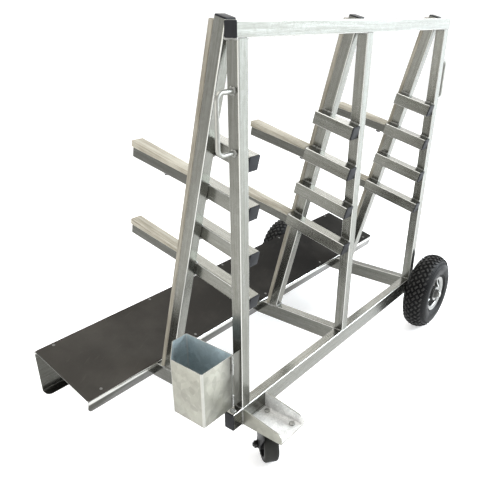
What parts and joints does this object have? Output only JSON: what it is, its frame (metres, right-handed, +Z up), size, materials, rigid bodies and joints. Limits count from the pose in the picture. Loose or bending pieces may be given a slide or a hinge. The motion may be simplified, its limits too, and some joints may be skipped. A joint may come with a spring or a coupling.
{
  "type": "stone buggy cart",
  "caption": "Galvanised slab cart: leaning A-frame rack with pull-out support arms on a tilted deck, tool bin, swivel caster and knobby pneumatic wheels.",
  "frame": {"origin": "on the floor under the middle of the overall box", "axes": "+X along the cart from the caster end to the axle end, +Y from the posts to the deck, +Z up"},
  "size_m": [1.5, 0.796, 1.0743],
  "materials": {
    "galvanised": "hot-dip galvanised",
    "lath": "sawn lath",
    "plug": "moulded",
    "board": "black film-faced board",
    "caster_black": "black",
    "caster_rubber": "satin",
    "zinc": "zinc plated",
    "tyre": "moulded rubber",
    "rim": "silver lacquer"
  },
  "bodies": {
    "frame": {"bottom_beam": "galvanised", "top_beam": "galvanised", "near_post": "galvanised", "near_cross_tube": "galvanised", "near_leg": "galvanised", "near_leg_strip": "lath", "near_sleeves": "galvanised", "mid_post": "galvanised", "mid_cross_tube": "galvanised", "mid_leg": "galvanised", "mid_leg_strip": "lath", "mid_sleeves": "galvanised", "far_post": "galvanised", "far_cross_tube": "galvanised", "far_leg": "galvanised", "far_leg_strip": "lath", "far_sleeves": "galvanised", "sleeve_plugs": "plug", "tube_plugs": "plug", "deck_tray": "galvanised", "deck_board": "board", "tool_bin": "galvanised", "near_handle": "galvanised", "far_handle": "galvanised", "caster_bracket": "galvanised", "caster_top_plate": "caster_black", "caster_kingpin": "caster_black", "caster_bolts": "zinc", "axle": "zinc", "axle_hangers": "galvanised", "axle_fasteners": "zinc"},
    "front_wheel": {"front_tyre": "tyre", "front_outer_rim": "rim", "front_inner_rim": "rim", "front_hub": "rim", "front_bearings": "zinc"},
    "rear_wheel": {"rear_tyre": "tyre", "rear_outer_rim": "rim", "rear_inner_rim": "rim", "rear_hub": "rim", "rear_bearings": "zinc"},
    "caster_swivel": {"caster_fork": "caster_black", "caster_axle_bolt": "zinc"},
    "caster_wheel": {"caster_core": "caster_black", "caster_tread": "caster_rubber"},
    "near_upper_arm": {"near_upper_arm": "galvanised", "near_upper_strip": "lath", "near_upper_bolt": "zinc"},
    "mid_upper_arm": {"mid_upper_arm": "galvanised", "mid_upper_strip": "lath", "mid_upper_bolt": "zinc"},
    "far_upper_arm": {"far_upper_arm": "galvanised", "far_upper_strip": "lath", "far_upper_bolt": "zinc"},
    "near_lower_arm": {"near_lower_arm": "galvanised", "near_lower_strip": "lath"},
    "mid_lower_arm": {"mid_lower_arm": "galvanised", "mid_lower_strip": "lath"},
    "far_lower_arm": {"far_lower_arm": "galvanised", "far_lower_strip": "lath"}
  },
  "joints": [
    {"name": "front_wheel_spin", "type": "hinge", "parent": "frame", "child": "front_wheel", "pos_m": [0.502, -0.329, 0.141], "axis": [0, 1, 0], "continuous": true},
    {"name": "rear_wheel_spin", "type": "hinge", "parent": "frame", "child": "rear_wheel", "pos_m": [0.502, 0.34, 0.141], "axis": [0, 1, 0], "continuous": true},
    {"name": "caster_swivel", "type": "hinge", "parent": "frame", "child": "caster_swivel", "pos_m": [-0.475, -0.336, 0.135], "axis": [0, 0, 1], "continuous": true},
    {"name": "caster_wheel_spin", "type": "hinge", "parent": "caster_swivel", "child": "caster_wheel", "pos_m": [-0.45037, -0.30448, 0.0525], "axis": [-0.788, 0.6157, 0], "continuous": true},
    {"name": "near_upper_arm_slide", "type": "slide", "parent": "frame", "child": "near_upper_arm", "axis": [0, 0.9776, 0.2105], "range_m": [0, 0.055]},
    {"name": "mid_upper_arm_slide", "type": "slide", "parent": "frame", "child": "mid_upper_arm", "axis": [0, 0.9776, 0.2105], "range_m": [0, 0.055]},
    {"name": "far_upper_arm_slide", "type": "slide", "parent": "frame", "child": "far_upper_arm", "axis": [0, 0.9776, 0.2105], "range_m": [0, 0.055]},
    {"name": "near_lower_arm_slide", "type": "slide", "parent": "frame", "child": "near_lower_arm", "axis": [0, 0.9776, 0.2105], "range_m": [0, 0.055]},
    {"name": "mid_lower_arm_slide", "type": "slide", "parent": "frame", "child": "mid_lower_arm", "axis": [0, 0.9776, 0.2105], "range_m": [0, 0.055]},
    {"name": "far_lower_arm_slide", "type": "slide", "parent": "frame", "child": "far_lower_arm", "axis": [0, 0.9776, 0.2105], "range_m": [0, 0.055]}
  ]
}
